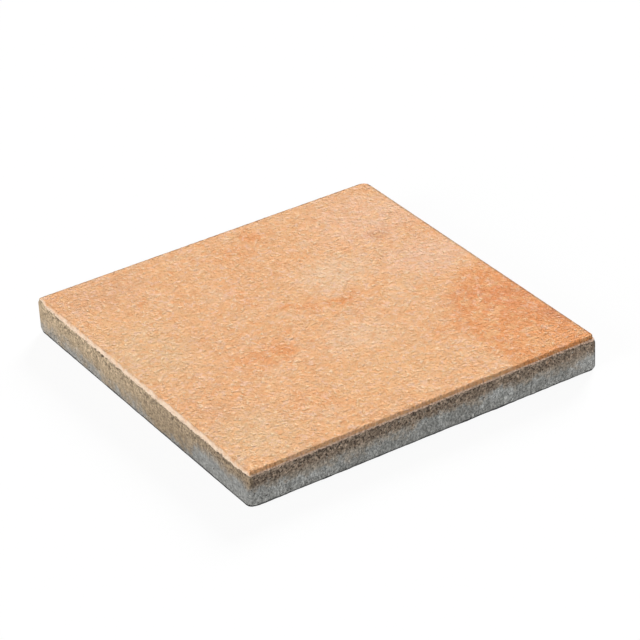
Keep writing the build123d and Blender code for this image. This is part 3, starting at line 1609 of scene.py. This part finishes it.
@dataclass
class PatioSlab:
    """The concrete patio slab, as one piece."""

    section: SlabSection
    face: FaceMix = FaceMix()
    backing: Backing = Backing()

    def build(self) -> bpy.types.Object:
        """Makes the slab, dresses it and ties it to the CAD frame.

        Returns:
            The finished piece.
        """
        material = ConcreteFinish(self.section, self.face, self.backing).material()
        mesh = SlabMesh(self.section).build(PIECE_NAME)
        piece = bpy.data.objects.new(PIECE_NAME, mesh)
        bpy.context.scene.collection.objects.link(piece)
        CastRelief(self.section).apply(piece, material)
        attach(piece, CAD_BODY)
        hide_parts(CAD_NODE)
        piece.data.calc_loop_triangles()
        log.info("%s: %d triangles", piece.name, len(piece.data.loop_triangles))
        return piece


@dataclass
class PhotoCamera:
    """A camera that stands where the photograph was taken."""

    picture_side: float = 640.0
    focal_length: float = 3064.0
    sensor: float = 36.0
    azimuth: float = -31.76
    elevation: float = 30.94
    roll: float = 3.05
    distance: float = 3.0434
    aim_height: float = 0.020
    aim_pixel_x: float = 312.64
    aim_pixel_y: float = 332.70
    clip_end: float = 100.0

    def build(self) -> bpy.types.Object:
        """Makes the camera and gives it to the scene.

        Returns:
            The camera object.
        """
        azimuth = math.radians(self.azimuth)
        elevation = math.radians(self.elevation)
        roll = math.radians(self.roll)
        ahead = Vector((-math.sin(azimuth), math.cos(azimuth), 0.0))
        forward = ahead * math.cos(elevation) - Vector((0.0, 0.0, math.sin(elevation)))
        level = Vector((math.cos(azimuth), math.sin(azimuth), 0.0))
        plumb = forward.cross(level)
        right = level * math.cos(roll) + plumb * math.sin(roll)
        down = plumb * math.cos(roll) - level * math.sin(roll)
        middle = self.picture_side / 2
        aside = (self.aim_pixel_x - middle) / self.focal_length
        under = (self.aim_pixel_y - middle) / self.focal_length
        aim = Vector((0.0, 0.0, self.aim_height))
        place = aim - (forward + right * aside + down * under) * self.distance
        lens = bpy.data.cameras.new("photo_camera")
        lens.sensor_width = self.sensor
        lens.lens = self.focal_length / self.picture_side * self.sensor
        lens.clip_end = self.clip_end
        camera = bpy.data.objects.new("photo_camera", lens)
        turn = Matrix((right, -down, -forward)).transposed()
        camera.matrix_world = Matrix.Translation(place) @ turn.to_4x4()
        bpy.context.scene.collection.objects.link(camera)
        bpy.context.scene.camera = camera
        return camera


@dataclass(frozen=True)
class Lamp:
    """A broad soft lamp, far off. Angles are in degrees, and the azimuth runs from +X towards +Y."""

    azimuth: float
    elevation: float
    level: float
    spread: float

    def build(self, name: str) -> bpy.types.Object:
        """Hangs the lamp.

        Args:
            name: The lamp's name.

        Returns:
            The lamp object.
        """
        azimuth = math.radians(self.azimuth)
        elevation = math.radians(self.elevation)
        outwards = Vector((math.cos(azimuth), math.sin(azimuth), 0.0))
        towards = outwards * math.cos(elevation) + Vector((0.0, 0.0, math.sin(elevation)))
        light = bpy.data.lights.new(name, "SUN")
        light.energy = self.level * math.pi
        light.angle = math.radians(self.spread)
        lamp = bpy.data.objects.new(name, light)
        lamp.rotation_mode = "QUATERNION"
        lamp.rotation_quaternion = (-towards).to_track_quat("-Z", "Y")
        bpy.context.scene.collection.objects.link(lamp)
        return lamp


@dataclass
class Studio:
    """A plain pale floor with soft light from the left and from behind."""

    floor_half: float = 20.0
    floor_drop: float = 0.0001
    floor_bounce: float = 0.68
    floor_glow: float = 0.92
    ambient: float = 0.32
    key: Lamp = Lamp(azimuth=185.0, elevation=20.0, level=0.72, spread=36.0)
    back: Lamp = Lamp(azimuth=38.0, elevation=27.0, level=1.19, spread=20.0)

    @staticmethod
    def seen(bench: Bench) -> Socket:
        """Whether the camera sees a place straight, in a gloss or through glass, from 0 to 1."""
        path = bench.add("ShaderNodeLightPath").outputs
        either = bench.total(path["Is Camera Ray"], path["Is Glossy Ray"])
        return bench.math("ADD", either, path["Is Transmission Ray"], clamp=True)

    def floor(self) -> bpy.types.Object:
        """Makes the floor, which looks white and keeps the slab's shadow."""
        half = self.floor_half
        corners = [(-half, -half), (half, -half), (half, half), (-half, half)]
        mesh = bpy.data.meshes.new("floor")
        mesh.from_pydata([(x, y, -self.floor_drop) for x, y in corners], [], [(0, 1, 2, 3)])
        floor = bpy.data.objects.new("floor", mesh)
        bpy.context.scene.collection.objects.link(floor)
        material = bpy.data.materials.new("floor_white")
        material.use_nodes = True
        material.node_tree.nodes.clear()
        bench = Bench(material.node_tree)
        bounce = bench.add("ShaderNodeBsdfDiffuse")
        bench.feed(bounce.inputs["Color"], (self.floor_bounce, self.floor_bounce, self.floor_bounce, 1.0))
        white = bench.add("ShaderNodeBsdfDiffuse")
        bench.feed(white.inputs["Color"], (1.0, 1.0, 1.0, 1.0))
        glow = bench.add("ShaderNodeEmission")
        shown = bench.add("ShaderNodeMixShader")
        bench.feed(shown.inputs["Fac"], self.floor_glow)
        bench.feed(shown.inputs[1], white.outputs[0])
        bench.feed(shown.inputs[2], glow.outputs[0])
        either = bench.add("ShaderNodeMixShader")
        bench.feed(either.inputs["Fac"], self.seen(bench))
        bench.feed(either.inputs[1], bounce.outputs[0])
        bench.feed(either.inputs[2], shown.outputs[0])
        bench.feed(bench.add("ShaderNodeOutputMaterial").inputs["Surface"], either.outputs[0])
        mesh.materials.append(material)
        return floor

    def world(self) -> None:
        """Lights the slab evenly from all round, with a white sky for the camera."""
        world = bpy.data.worlds.new("studio")
        world.use_nodes = True
        world.node_tree.nodes.clear()
        bench = Bench(world.node_tree)
        sky = bench.add("ShaderNodeBackground")
        bench.feed(sky.inputs["Strength"], bench.blend(self.seen(bench), self.ambient, 1.0))
        bench.feed(bench.add("ShaderNodeOutputWorld").inputs["Surface"], sky.outputs[0])
        bpy.context.scene.world = world

    def build(self) -> None:
        """Sets the floor, the sky and the lamps."""
        self.floor()
        self.world()
        self.key.build("key_lamp")
        self.back.build("back_lamp")
        bpy.context.scene.view_settings.view_transform = "Standard"


def main() -> None:
    """Builds the slab, the camera and the studio."""
    logging.basicConfig(level=logging.INFO, format="%(name)s: %(message)s")
    low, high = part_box(CAD_NODE)
    PatioSlab(SlabSection(low, high)).build()
    PhotoCamera().build()
    Studio().build()


if __name__ == "__main__":
    main()
